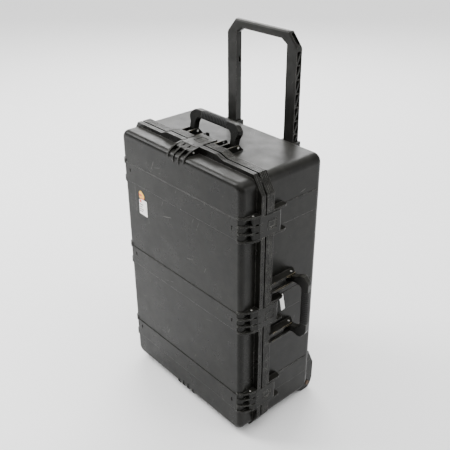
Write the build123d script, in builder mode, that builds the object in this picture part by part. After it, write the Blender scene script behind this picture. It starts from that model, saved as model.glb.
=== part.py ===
"""Long wheeled equipment case, standing on its short end.

Frame: +Z up, +X towards the side latches, -X towards the hinges, -Y out of the lid, +Y out of the back.
The origin is on the floor, on the case's mid-plane, in the parting plane between lid and base.
All sizes are in millimetres.
"""

import os
from math import cos, radians, sin

from build123d import *

# ---------------------------------------------------------------- driving dimensions
LENGTH = 795.0  # floor to the top of the raised rim
MID_Z = LENGTH / 2
LID_FACE = -65.0  # the lid's bands, its outermost surface
BASE_BACK = 214.0  # flat back of the base
BACK_LIMIT = 245.0  # wheels, their housings and the trolley guides
LID_HALF_W, LID_HALF_H = 242.0, 379.0
BASE_HALF_W, BASE_HALF_H = 241.0, 381.0
WALL = 4.5
CORNER = 24.0  # vertical corners of both shells
LID_EDGE, BASE_EDGE = 14.0, 18.0  # rounding of the lid's face and of the base's back

RIM_HALF_W = 259.0
RIM_LOW_HALF_H = 389.0  # rim along the short ends
RIM_HALF_H = LENGTH / 2  # raised middle of the short ends
RIM_RAISED, RIM_RAMP = 96.0, 122.0  # where the raised middle ends, and where its ramp ends
RIM_CORNER_X, RIM_CORNER_Z = 229.0, 343.0  # where the cut corner meets the end and the side
PARTING_GAP = 2.5  # each flange's distance from the parting plane
LID_FLANGE, BASE_FLANGE = 12.5, 24.0  # flange thicknesses along Y
GROOVE_DEPTH, GROOVE_WIDTH = 1.4, 1.2

BAND_RAISE, BAND_HEIGHT = 2.0, 57.0
SLOT_LENGTH, SLOT_WIDTH, SLOT_DEPTH = 13.0, 4.4, 3.0  # blind slots near the ends of the lid's bands
LATCH_SLOT_X, HINGE_SLOT_X, HINGE_SLOT_RISE = 211.0, 207.0, 7.0
STATIONS = (123.5, 391.0, 658.5)  # heights of the latches, hinges and bands

LATCH_STAND = 17.5  # outer plane of a latch above the lid's wall
LATCH_HALF = 28.5
LATCH_PLATE = 5.0
LATCH_END = 50.0
PIVOT_OUT, PIVOT_Y = 7.0, -33.0  # latch pin, from the lid's wall and from the parting plane
KNUCKLE_R = 5.6
PIN_R, PIN_BORE_R = 2.5, 2.56
EAR_IN, EAR_OUT = 29.0, 34.0
FIN_AT, FIN_T = 10.4, 4.2
LID_CUT_OUT, BASE_CUT_OUT = 12.0, 10.8  # relief in the two flanges under a latch
GUARD_NEAR, GUARD_SWING = 30.4, 36.0  # a guard clears the latch, and its swing on the short ends
GUARD_T, GUARD_END = 5.0, 74.0
HASP_OFFSET, HASP_R = 39.5, 2.6
GASKET_IN, GASKET_OUT = 2.0, 3.0  # gasket groove, from the lid's wall
GASKET_DEPTH, GASKET_PLAY = 5.0, 0.3
BEAD_HEIGHT = 1.5

BUTTON_HALF_Y, BUTTON_HALF_W = 13.0, 11.0
BUTTON_Y = 20.0
BUTTON_GAP = 0.4

HINGE_OUT = 20.0  # hinge axis from the lid's wall
HINGE_R, HINGE_PIN_R, HINGE_BORE_R = 7.0, 3.0, 3.06
HINGE_BASE_HALF, HINGE_EAR_IN, HINGE_EAR_OUT, HINGE_CUT_HALF = 20.0, 20.5, 33.0, 34.5
HINGE_CUT_OUT = 10.5

HANDLE_PITCH = 158.0  # between the middles of a handle's two brackets
BRACKET_HALF, BRACKET_WALL = 15.0, 5.0
LUG_HALF = 9.6
SIDE_HANDLE_Z = 391.0
HANDLE_PIN_R, HANDLE_BORE_R = 3.0, 3.06
HANDLE_REACH = 57.0
HANDLE_LEAN = 12.0  # how far the handles rest back from upright
HANDLE_T = 17.0
GRIP_T, GRIP_DEPTH, GRIP_HALF = 18.8, 22.0, 50.0
SIDE_PIVOT_OUT, SIDE_PIVOT_Y, SIDE_BRACKET_H = 11.0, 103.0, 22.0
TOP_PIVOT_OUT, TOP_PIVOT_Y, TOP_BRACKET_H = 10.5, 61.0, 16.5

STILE_OUT, STILE_W, STILE_D = 126.5, 34.0, 19.0
STILE_MID = STILE_OUT - STILE_W / 2
STILE_Y = 222.5  # front of the stiles
TROLLEY_TOP, TROLLEY_FOOT = 1049.0, 460.0  # with the handle pulled out
TROLLEY_BAR = 22.0
CORNER_X, CORNER_Z = 28.0, 32.0  # the handle's cut corners, outside
INNER_CORNER_X, INNER_CORNER_Z = 22.0, 14.0
TRUSS_PITCH, TRUSS_WEB = 36.0, 2.2
DETENT_Z = 932.0
GUIDE_GAP, GUIDE_WALL = 0.5, 2.5
GUIDE_BOTTOM, GUIDE_TOP = 132.0, 768.0

WHEEL_R, WHEEL_HALF, WHEEL_X = 23.0, 12.0, 199.0
AXLE_Y, AXLE_Z = 221.5, 24.5
HUB_R = 16.0
AXLE_R, HUB_BORE_R = 4.0, 4.06
HOUSING_IN, HOUSING_OUT = 172.0, 228.0
POCKET_FRONT, POCKET_TOP = 173.0, 58.0

GUIDE_SCREW_Z = (180.0, 360.0, 540.0, 700.0)
HOUSING_SCREWS = [(x, z) for x in (178.0, 216.0) for z in (82.0, 122.0)]
VALVE_Y, VALVE_Z, VALVE_R = 150.0, 600.0, 13.0
LABEL_T = 0.4


# ---------------------------------------------------------------- shared shapes
def wall_plane(outward, origin):
    """A plane at a side wall: local x runs outward, local y towards the back, local z along the rim."""
    out = Vector(*outward)
    return Plane(origin=origin, x_dir=out, z_dir=out.cross(Vector(0, 1, 0)))


def slab(plane, outline, start, end, mode=Mode.ADD):
    """Extrude a closed outline, in the plane's own coordinates, between two heights above the plane."""
    with BuildSketch(plane.offset(start)) as section:
        with BuildLine():
            Polyline(*outline, close=True)
        make_face()
    extrude(section.sketch, amount=end - start, mode=mode)


def box_between(low, high, mode=Mode.ADD):
    """A box from its lowest to its highest corner."""
    centre = tuple((a + b) / 2 for a, b in zip(low, high))
    with Locations(centre):
        Box(*[b - a for a, b in zip(low, high)], mode=mode)


def rod(plane, x, y, radius, start, end, mode=Mode.ADD):
    """A round bar along the plane's normal."""
    with BuildSketch(plane.offset(start)) as section:
        with Locations((x, y)):
            Circle(radius)
    extrude(section.sketch, amount=end - start, mode=mode)


def facing(y):
    """A plane across the case at a depth y, with local x along X and local y along Z; its normal is -Y."""
    return Plane(origin=(0, y, MID_Z), x_dir=(1, 0, 0), z_dir=(0, -1, 0))


def rounded_prism(half_w, half_h, radius, front, back, mode=Mode.ADD):
    """A block with rounded vertical corners between two depths."""
    with BuildSketch(facing(back)) as section:
        RectangleRounded(2 * half_w, 2 * half_h, radius)
    extrude(section.sketch, amount=back - front, mode=mode)


def rim_outline(inset):
    """The rim seen from the front: cut corners, and short ends that step up in the middle."""
    w, low, high = RIM_HALF_W - inset, RIM_LOW_HALF_H - inset, RIM_HALF_H - inset
    quarter = [(w, RIM_CORNER_Z), (RIM_CORNER_X, low), (RIM_RAMP, low), (RIM_RAISED, high)]
    mirrored = [(-x, z) for x, z in reversed(quarter)]
    lower = [(-x, -z) for x, z in quarter] + [(-x, -z) for x, z in mirrored]
    return quarter + mirrored + lower


def ribbed_flange(front, back):
    """A flange whose outer edge carries fine grooves along the rim."""
    count = int((back - front) // 4.2)
    pitch = (back - front) / count
    for i in range(count):
        top = front + (i + 1) * pitch
        rib_end = top if i == count - 1 else top - GROOVE_WIDTH
        slab(facing(rib_end), rim_outline(0), 0, rib_end - (front + i * pitch))
        if rib_end < top:
            slab(facing(top), rim_outline(GROOVE_DEPTH), 0, GROOVE_WIDTH)


def save(builder, name):
    """Label a finished piece and write it."""
    builder.part.label = name
    export_step(builder.part, f"parts/{name}.step")


def ring(y, inner_growth, outer_growth, depth, mode=Mode.ADD):
    """A band that follows the lid's wall, from depth y towards the front."""
    with BuildSketch(facing(y)) as section:
        for growth, step in ((outer_growth, Mode.ADD), (inner_growth, Mode.SUBTRACT)):
            width, height = 2 * (LID_HALF_W + growth), 2 * (LID_HALF_H + growth)
            RectangleRounded(width, height, CORNER + growth, mode=step)
    extrude(section.sketch, amount=depth, mode=mode)


# Each latch: its plane, and how far each guard stands from its middle. As the lid swings open, the
# latches on the short ends move a little towards +X, so the guard on that side stands further off.
LATCH_SITES = {
    "side_upper": (wall_plane((1, 0, 0), (LID_HALF_W, 0, STATIONS[2])), GUARD_NEAR, GUARD_NEAR),
    "side_middle": (wall_plane((1, 0, 0), (LID_HALF_W, 0, STATIONS[1])), GUARD_NEAR, GUARD_NEAR),
    "side_lower": (wall_plane((1, 0, 0), (LID_HALF_W, 0, STATIONS[0])), GUARD_NEAR, GUARD_NEAR),
    "top": (wall_plane((0, 0, 1), (0, 0, MID_Z + LID_HALF_H)), GUARD_SWING, GUARD_NEAR),
    "bottom": (wall_plane((0, 0, -1), (0, 0, MID_Z - LID_HALF_H)), GUARD_NEAR, GUARD_SWING),
}
HINGE_SITES = [wall_plane((-1, 0, 0), (-LID_HALF_W, 0, z)) for z in STATIONS]
SIDE_SITE = wall_plane((1, 0, 0), (BASE_HALF_W, 0, SIDE_HANDLE_Z))
TOP_SITE = wall_plane((0, 0, 1), (0, 0, MID_Z + BASE_HALF_H))
HANDLES = {
    "side": (SIDE_SITE, SIDE_PIVOT_OUT, SIDE_PIVOT_Y, SIDE_BRACKET_H),
    "top": (TOP_SITE, TOP_PIVOT_OUT, TOP_PIVOT_Y, TOP_BRACKET_H),
}
LID_BACK, LID_RIM = -PARTING_GAP, -PARTING_GAP - LID_FLANGE
BASE_FRONT, BASE_RIM = PARTING_GAP, PARTING_GAP + BASE_FLANGE

os.makedirs("parts", exist_ok=True)

# ---------------------------------------------------------------- base shell
# Beside each wheel the inside of the base steps in, so that the corner is closed over the housing.
with BuildPart() as base_hollow:
    rounded_prism(
        BASE_HALF_W - WALL, BASE_HALF_H - WALL, CORNER - WALL, BASE_FRONT, BASE_BACK - WALL
    )
    fillet(base_hollow.faces().sort_by(Axis.Y)[-1].edges(), BASE_EDGE - WALL)
    for side in (-1, 1):
        inner, outer = sorted((side * (HOUSING_IN - 6), side * BASE_HALF_W))
        slab(
            Plane.YZ,
            [
                (POCKET_FRONT - 12, 0),
                (POCKET_FRONT - 8, 24),
                (BASE_BACK - 8, POCKET_TOP + 6),
                (BASE_BACK, POCKET_TOP + 6),
                (BASE_BACK, 0),
            ],
            inner,
            outer,
            mode=Mode.SUBTRACT,
        )

with BuildPart() as base_shell:
    rounded_prism(BASE_HALF_W, BASE_HALF_H, CORNER, BASE_FRONT, BASE_BACK)
    fillet(base_shell.faces().sort_by(Axis.Y)[-1].edges(), BASE_EDGE)
    ribbed_flange(BASE_FRONT, BASE_RIM)
    # faint raised bands carry the lid's bands around both long sides
    for station in STATIONS:
        box_between(
            (-BASE_HALF_W - 1.2, BASE_RIM, station - BAND_HEIGHT / 2),
            (BASE_HALF_W + 1.2, BASE_BACK - BASE_EDGE, station + BAND_HEIGHT / 2),
        )
    # flanges are relieved under the latches and at the hinges
    for latch_site, low, high in LATCH_SITES.values():
        cut = [(BASE_CUT_OUT, 0), (40, 0), (40, BASE_RIM + 1), (BASE_CUT_OUT, BASE_RIM + 1)]
        slab(latch_site, cut, -low, high, mode=Mode.SUBTRACT)
        # a curved guard on each side of the latch plate
        height = LATCH_STAND - 1.0
        guard = [
            (-6, BASE_RIM - 4),
            (height, BASE_RIM - 4),
            (height, GUARD_END - 9),
            (height - 2, GUARD_END - 4),
            (height - 6, GUARD_END - 1),
            (-6, GUARD_END),
        ]
        slab(latch_site, guard, -low - GUARD_T, -low)
        slab(latch_site, guard, high, high + GUARD_T)
    for hinge_site in HINGE_SITES:
        cut = [(HINGE_CUT_OUT, 0), (40, 0), (40, BASE_RIM + 1), (HINGE_CUT_OUT, BASE_RIM + 1)]
        slab(hinge_site, cut, -HINGE_CUT_HALF, HINGE_CUT_HALF, mode=Mode.SUBTRACT)
        # knuckle on an arm that comes forward from the side wall
        arm = [
            (-5, 42),
            (4, 42),
            (HINGE_OUT + HINGE_R, 2),
            (HINGE_OUT + HINGE_R, 0),
            (HINGE_OUT, 0),
            (-5, 24),
        ]
        slab(hinge_site, arm, -HINGE_BASE_HALF, HINGE_BASE_HALF)
        rod(hinge_site, HINGE_OUT, 0, HINGE_R, -HINGE_BASE_HALF, HINGE_BASE_HALF)
        rod(hinge_site, HINGE_OUT, 0, HINGE_BORE_R, -40, 40, mode=Mode.SUBTRACT)
    # each carry handle hangs between two clevises that run back from the rim
    for handle_site, pivot_out, pivot_y, height in HANDLES.values():
        wall = [
            (-2, BASE_RIM - 2),
            (height, BASE_RIM - 2),
            (height, pivot_y + 4),
            (-2, pivot_y + 20),
        ]
        for middle in (-HANDLE_PITCH / 2, HANDLE_PITCH / 2):
            for start in (middle - BRACKET_HALF, middle + BRACKET_HALF - BRACKET_WALL):
                slab(handle_site, wall, start, start + BRACKET_WALL)
            # a low floor joins the two walls as far as the handle's lug
            floor = [
                (-2, BASE_RIM - 2),
                (height - 6, BASE_RIM - 2),
                (height - 6, pivot_y - 24),
                (-2, pivot_y - 16),
            ]
            slab(handle_site, floor, middle - BRACKET_HALF, middle + BRACKET_HALF)
        reach = HANDLE_PITCH / 2 + BRACKET_HALF + 1
        rod(handle_site, pivot_out, pivot_y, HANDLE_BORE_R, -reach, reach, mode=Mode.SUBTRACT)
    # hasp holes beside the upper and lower side latches, through both flanges
    for height in (STATIONS[0] - HASP_OFFSET, STATIONS[2] + HASP_OFFSET):
        hasp = (RIM_HALF_W - 7, height - MID_Z)
        rod(facing(BASE_RIM + 1), *hasp, HASP_R, 0, BASE_FLANGE + 2, mode=Mode.SUBTRACT)
    # the lower back corners are cut away for the wheel housings
    for side in (-1, 1):
        inner, outer = sorted((side * HOUSING_IN, side * (BASE_HALF_W + 5)))
        slab(
            Plane.YZ,
            [
                (POCKET_FRONT, -5),
                (POCKET_FRONT, 19),
                (BASE_BACK + 1, POCKET_TOP),
                (BASE_BACK + 5, POCKET_TOP),
                (BASE_BACK + 5, -5),
            ],
            inner,
            outer,
            mode=Mode.SUBTRACT,
        )
    add(base_hollow.part, mode=Mode.SUBTRACT)
    # clearance holes for the screws and for the valve
    for x, z in [(side * x, z) for side in (-1, 1) for x, z in HOUSING_SCREWS] + [
        (side * STILE_MID, z) for side in (-1, 1) for z in GUIDE_SCREW_Z
    ]:
        hole = Plane(origin=(x, BASE_BACK + 1, z), x_dir=(1, 0, 0), z_dir=(0, -1, 0))
        rod(hole, 0, 0, 2.1, 0, WALL + 2, mode=Mode.SUBTRACT)
    seat = Plane(origin=(-BASE_HALF_W, VALVE_Y, VALVE_Z), x_dir=(0, 1, 0), z_dir=(-1, 0, 0))
    rod(seat, 0, 0, 6.05, -WALL - 1, 2, mode=Mode.SUBTRACT)
    # a low bead on the parting face presses into the lid's gasket
    ring(BASE_FRONT, -1, 2, BEAD_HEIGHT)
save(base_shell, "base_shell")

# ---------------------------------------------------------------- lid shell
with BuildPart() as lid_shell:
    rounded_prism(LID_HALF_W, LID_HALF_H, CORNER, LID_FACE + BAND_RAISE, LID_BACK)
    fillet(lid_shell.faces().sort_by(Axis.Y)[0].edges(), LID_EDGE)
    ribbed_flange(LID_RIM, LID_BACK)
    # the bands: a step along the lower edge and a long chamfer along the upper one
    for station in STATIONS:
        half = BAND_HEIGHT / 2
        band = [
            (LID_FACE + BAND_RAISE + 1, station - half),
            (LID_FACE, station - half),
            (LID_FACE, station + half - 3),
            (LID_FACE + BAND_RAISE + 1, station + half + 1),
        ]
        slab(Plane.YZ, band, -LID_HALF_W + LID_EDGE - 2, LID_HALF_W - LID_EDGE + 2)
        slots = [(LATCH_SLOT_X, station - MID_Z), (-HINGE_SLOT_X, station + HINGE_SLOT_RISE - MID_Z)]
        with BuildSketch(facing(LID_FACE + SLOT_DEPTH)) as openings:
            with Locations(*slots):
                SlotOverall(SLOT_LENGTH, SLOT_WIDTH, rotation=90)
        extrude(openings.sketch, amount=SLOT_DEPTH + 1, mode=Mode.SUBTRACT)
    for latch_site, low, high in LATCH_SITES.values():
        cut = [(LID_CUT_OUT, 0), (40, 0), (40, LID_RIM - 1), (LID_CUT_OUT, LID_RIM - 1)]
        slab(latch_site, cut, -EAR_IN, EAR_IN, mode=Mode.SUBTRACT)
        # two ears and two fins wrap the lid's edge and carry the pin
        ear = [
            (-LID_EDGE - 2, LID_FACE + BAND_RAISE + 3),
            (-LID_EDGE, LID_FACE),
            (-LID_EDGE + 6, LID_FACE),
            (2, LID_FACE + 6),
            (9, LID_FACE + 17),
            (14, LID_FACE + 30),
            (LATCH_STAND, LID_RIM + 1),
            (-2, LID_RIM + 1),
            (-2, LID_FACE + LID_EDGE),
        ]
        for start in (-EAR_OUT, EAR_IN):
            slab(latch_site, ear, start, start + EAR_OUT - EAR_IN)
        fin = [
            (-LID_EDGE - 10, LID_FACE + BAND_RAISE + 2),
            (-LID_EDGE - 8, LID_FACE),
            (-LID_EDGE + 6, LID_FACE),
            (0, LID_FACE + 5),
            (7, LID_FACE + 16),
            (11, PIVOT_Y - 8),
            (12.5, PIVOT_Y + 4),
            (10, PIVOT_Y + 8),
            (-2, PIVOT_Y + 10),
            (-2, LID_FACE + LID_EDGE),
        ]
        for middle in (-FIN_AT, FIN_AT):
            slab(latch_site, fin, middle - FIN_T / 2, middle + FIN_T / 2)
        rod(latch_site, PIVOT_OUT, PIVOT_Y, PIN_BORE_R, -EAR_OUT - 1, EAR_OUT + 1, mode=Mode.SUBTRACT)
    for hinge_site in HINGE_SITES:
        cut = [(HINGE_CUT_OUT, 0), (40, 0), (40, LID_RIM - 1), (HINGE_CUT_OUT, LID_RIM - 1)]
        slab(hinge_site, cut, -HINGE_CUT_HALF, HINGE_CUT_HALF, mode=Mode.SUBTRACT)
        ear = [
            (-LID_EDGE - 2, LID_FACE + BAND_RAISE + 3),
            (-LID_EDGE, LID_FACE),
            (-LID_EDGE + 6, LID_FACE),
            (2, LID_FACE + 6),
            (10, LID_FACE + 17),
            (HINGE_OUT + 4, LID_FACE + 38),
            (HINGE_OUT + HINGE_R, -8),
            (HINGE_OUT + HINGE_R, 0),
            (HINGE_OUT, 0),
            (HINGE_OUT - 4, -5),
            (-2, LID_RIM + 2),
            (-2, LID_FACE + LID_EDGE),
        ]
        for start in (-HINGE_EAR_OUT, HINGE_EAR_IN):
            slab(hinge_site, ear, start, start + HINGE_EAR_OUT - HINGE_EAR_IN)
            rod(hinge_site, HINGE_OUT, 0, HINGE_R, start, start + HINGE_EAR_OUT - HINGE_EAR_IN)
        rod(hinge_site, HINGE_OUT, 0, HINGE_BORE_R, -40, 40, mode=Mode.SUBTRACT)
    for height in (STATIONS[0] - HASP_OFFSET, STATIONS[2] + HASP_OFFSET):
        hasp = (RIM_HALF_W - 7, height - MID_Z)
        rod(facing(LID_BACK + 1), *hasp, HASP_R, 0, LID_FLANGE + 2, mode=Mode.SUBTRACT)
    rounded_prism(
        LID_HALF_W - WALL,
        LID_HALF_H - WALL,
        CORNER - WALL,
        LID_FACE + BAND_RAISE + WALL,
        LID_BACK + 1,
        mode=Mode.SUBTRACT,
    )
    # groove for the gasket
    ring(LID_BACK, -GASKET_IN, GASKET_OUT, GASKET_DEPTH, mode=Mode.SUBTRACT)
save(lid_shell, "lid_shell")

with BuildPart() as lid_gasket:
    ring(0.6, GASKET_PLAY - GASKET_IN, GASKET_OUT - GASKET_PLAY, GASKET_DEPTH + PARTING_GAP + 0.5)
save(lid_gasket, "lid_gasket")

# ---------------------------------------------------------------- latches
LATCH_INNER = LATCH_STAND - LATCH_PLATE
# three knuckles sit in the gaps that the lid's ears and fins leave
KNUCKLES = [
    (-LATCH_HALF, -FIN_AT - FIN_T / 2 - 0.4),
    (-FIN_AT + FIN_T / 2 + 0.4, FIN_AT - FIN_T / 2 - 0.4),
    (FIN_AT + FIN_T / 2 + 0.4, LATCH_HALF),
]
BUTTON_FACE = LATCH_STAND - 0.4
BUTTON_BACK = BUTTON_FACE - 2.9
for name, (latch_site, low, high) in LATCH_SITES.items():
    with BuildPart() as latch:
        plate = [
            (LATCH_INNER, -20),
            (LATCH_STAND - 1.5, -22),
            (LATCH_STAND, -19),
            (LATCH_STAND, LATCH_END - 3),
            (LATCH_STAND - 1, LATCH_END),
            (LATCH_INNER, LATCH_END),
            (LATCH_INNER, 33),
            (LATCH_INNER - 1.3, 31),
            (LATCH_INNER - 1.3, BASE_RIM + 0.4),
            (LATCH_INNER, BASE_RIM + 0.4),
        ]
        slab(latch_site, plate, -LATCH_HALF, LATCH_HALF)
        arm = [
            (PIVOT_OUT - 3, PIVOT_Y + 4.6),
            (PIVOT_OUT + 4.6, PIVOT_Y - 3),
            (LATCH_STAND - 1.5, -22),
            (LATCH_INNER + 2, -18),
            (LATCH_INNER, -18),
        ]
        for start, end in KNUCKLES:
            slab(latch_site, arm, start, end)
            rod(latch_site, PIVOT_OUT, PIVOT_Y, KNUCKLE_R, start, end)
        rod(latch_site, PIVOT_OUT, PIVOT_Y, PIN_BORE_R, -40, 40, mode=Mode.SUBTRACT)
        # the button's window with a moat round it, and a groove across it for the ends of its spring
        window = [
            (0, BUTTON_Y - BUTTON_HALF_Y - BUTTON_GAP),
            (40, BUTTON_Y - BUTTON_HALF_Y - BUTTON_GAP),
            (40, BUTTON_Y + BUTTON_HALF_Y + BUTTON_GAP),
            (0, BUTTON_Y + BUTTON_HALF_Y + BUTTON_GAP),
        ]
        reach = BUTTON_HALF_W + BUTTON_GAP
        slab(latch_site, window, -reach, reach, mode=Mode.SUBTRACT)
        moat = [
            (LATCH_STAND - 1.8, BUTTON_Y - BUTTON_HALF_Y - 2),
            (40, BUTTON_Y - BUTTON_HALF_Y - 2),
            (40, BUTTON_Y + BUTTON_HALF_Y + 2),
            (LATCH_STAND - 1.8, BUTTON_Y + BUTTON_HALF_Y + 2),
        ]
        slab(latch_site, moat, -BUTTON_HALF_W - 2, BUTTON_HALF_W + 2, mode=Mode.SUBTRACT)
        groove = [(12.9, BUTTON_Y - 4), (13.7, BUTTON_Y - 4), (13.7, BUTTON_Y + 4), (12.9, BUTTON_Y + 4)]
        slab(latch_site, groove, -BUTTON_HALF_W - 2, BUTTON_HALF_W + 2, mode=Mode.SUBTRACT)
        # two small notches by the plate's front edge
        for middle in (-FIN_AT, FIN_AT):
            notch = [(LATCH_STAND - 2, -16), (40, -16), (40, -11), (LATCH_STAND - 2, -11)]
            slab(latch_site, notch, middle - 1.5, middle + 1.5, mode=Mode.SUBTRACT)
    save(latch, f"latch_{name}")

    with BuildPart() as button:
        face = [
            (BUTTON_BACK, BUTTON_Y - BUTTON_HALF_Y),
            (BUTTON_FACE, BUTTON_Y - BUTTON_HALF_Y),
            (BUTTON_FACE, BUTTON_Y + BUTTON_HALF_Y),
            (BUTTON_BACK, BUTTON_Y + BUTTON_HALF_Y),
        ]
        slab(latch_site, face, -BUTTON_HALF_W, BUTTON_HALF_W)
        dish = [
            (BUTTON_FACE - 0.6, BUTTON_Y - 8),
            (40, BUTTON_Y - 8),
            (40, BUTTON_Y + 8),
            (BUTTON_FACE - 0.6, BUTTON_Y + 8),
        ]
        slab(latch_site, dish, -7, 7, mode=Mode.SUBTRACT)
    save(button, f"latch_button_{name}")

    # a bowed strip of spring steel under the button
    across = Plane(
        origin=latch_site.from_local_coords((0, BUTTON_Y, 0)),
        x_dir=latch_site.z_dir,
        z_dir=latch_site.y_dir,
    )
    with BuildPart() as button_spring:
        with BuildSketch(across.offset(-3)) as strip:
            with BuildLine():
                half = BUTTON_HALF_W + 1.6
                outer = ThreePointArc((-half, 13.4), (0, 14.1), (half, 13.4))
                inner = ThreePointArc((-half, 13.0), (0, 13.7), (half, 13.0))
                Line(outer @ 0, inner @ 0)
                Line(outer @ 1, inner @ 1)
            make_face()
        extrude(strip.sketch, amount=6)
    save(button_spring, f"latch_button_spring_{name}")

with BuildPart() as latch_pins:
    for latch_site, low, high in LATCH_SITES.values():
        rod(latch_site, PIVOT_OUT, PIVOT_Y, PIN_R, -EAR_OUT - 0.8, EAR_OUT + 0.8)
save(latch_pins, "latch_pins")

with BuildPart() as hinge_pins:
    for hinge_site in HINGE_SITES:
        rod(hinge_site, HINGE_OUT, 0, HINGE_PIN_R, -HINGE_EAR_OUT - 0.8, HINGE_EAR_OUT + 0.8)
save(hinge_pins, "hinge_pins")

# ---------------------------------------------------------------- carry handles
LEG_OUT, LEG_IN = HANDLE_PITCH / 2 + LUG_HALF, HANDLE_PITCH / 2 - LUG_HALF
BAR_IN = HANDLE_REACH - 20
CORE_IN, CORE_OUT, CORE_HALF_T = BAR_IN + 4, HANDLE_REACH - 4, 5.0
with BuildPart() as handle_pins:
    for handle_site, pivot_out, pivot_y, height in HANDLES.values():
        for middle in (-HANDLE_PITCH / 2, HANDLE_PITCH / 2):
            start, end = middle - BRACKET_HALF - 0.6, middle + BRACKET_HALF + 0.6
            rod(handle_site, pivot_out, pivot_y, HANDLE_PIN_R, start, end)
save(handle_pins, "handle_pins")

for name, (handle_site, pivot_out, pivot_y, height) in HANDLES.items():
    # local x reaches from the pivot to the grip
    lean = radians(HANDLE_LEAN)
    pivot_line = Plane(
        origin=handle_site.from_local_coords((pivot_out, pivot_y, 0)),
        x_dir=handle_site.x_dir * cos(lean) + Vector(0, 1, 0) * sin(lean),
        z_dir=handle_site.z_dir,
    )
    # the same, with local y along the pivot
    upright = Plane(
        origin=pivot_line.origin,
        x_dir=pivot_line.x_dir,
        z_dir=pivot_line.x_dir.cross(pivot_line.z_dir),
    )
    half = [
        (0, LEG_IN),
        (0, LEG_OUT),
        (20, LEG_OUT),
        (33, 95),
        (43, 94),
        (HANDLE_REACH - 3, 81),
        (HANDLE_REACH, 73),
    ]
    inner = [(20, LEG_IN), (BAR_IN - 6, 66), (BAR_IN, 59)]
    outline = half + [(x, -y) for x, y in reversed(half)] + [(x, -y) for x, y in inner] + inner[::-1]
    with BuildPart() as handle:
        slab(upright, outline, -HANDLE_T / 2, HANDLE_T / 2)
        flats = [e for e in handle.edges() if abs(e.tangent_at(0.5).dot(upright.z_dir)) < 0.1]
        fillet([e for e in flats if upright.to_local_coords(e.center()).X > 1], 2)
        for middle in (-HANDLE_PITCH / 2, HANDLE_PITCH / 2):
            rod(pivot_line, 0, 0, HANDLE_T / 2, middle - LUG_HALF, middle + LUG_HALF)
        rod(pivot_line, 0, 0, HANDLE_BORE_R, -100, 100, mode=Mode.SUBTRACT)
        band = [
            (BAR_IN - 1, -GRIP_HALF),
            (HANDLE_REACH + 1, -GRIP_HALF),
            (HANDLE_REACH + 1, GRIP_HALF),
            (BAR_IN - 1, GRIP_HALF),
        ]
        slab(upright, band, -HANDLE_T, HANDLE_T, mode=Mode.SUBTRACT)
        core = [
            (CORE_IN, -GRIP_HALF - 1),
            (CORE_OUT, -GRIP_HALF - 1),
            (CORE_OUT, GRIP_HALF + 1),
            (CORE_IN, GRIP_HALF + 1),
        ]
        slab(upright, core, -CORE_HALF_T, CORE_HALF_T)
    save(handle, f"{name}_handle")

    with BuildPart() as grip:
        across = Plane(
            origin=upright.from_local_coords((0, -GRIP_HALF, 0)),
            x_dir=upright.x_dir,
            z_dir=upright.y_dir,
        )
        with BuildSketch(across) as section:
            with Locations(((BAR_IN + HANDLE_REACH) / 2, 0)):
                RectangleRounded(GRIP_DEPTH, GRIP_T, 6)
        extrude(section.sketch, amount=2 * GRIP_HALF)
        # fine grooves around the grip
        for i in range(12):
            at = 6 + i * (2 * GRIP_HALF - 12) / 11
            with BuildSketch(across.offset(at - 0.7)) as groove:
                with Locations(((BAR_IN + HANDLE_REACH) / 2, 0)):
                    RectangleRounded(GRIP_DEPTH + 2, GRIP_T + 2, 6)
                    RectangleRounded(GRIP_DEPTH - 2, GRIP_T - 2, 5, mode=Mode.SUBTRACT)
            extrude(groove.sketch, amount=1.4, mode=Mode.SUBTRACT)
        slab(upright, core, -CORE_HALF_T, CORE_HALF_T, mode=Mode.SUBTRACT)
    save(grip, f"{name}_handle_grip")

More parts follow.
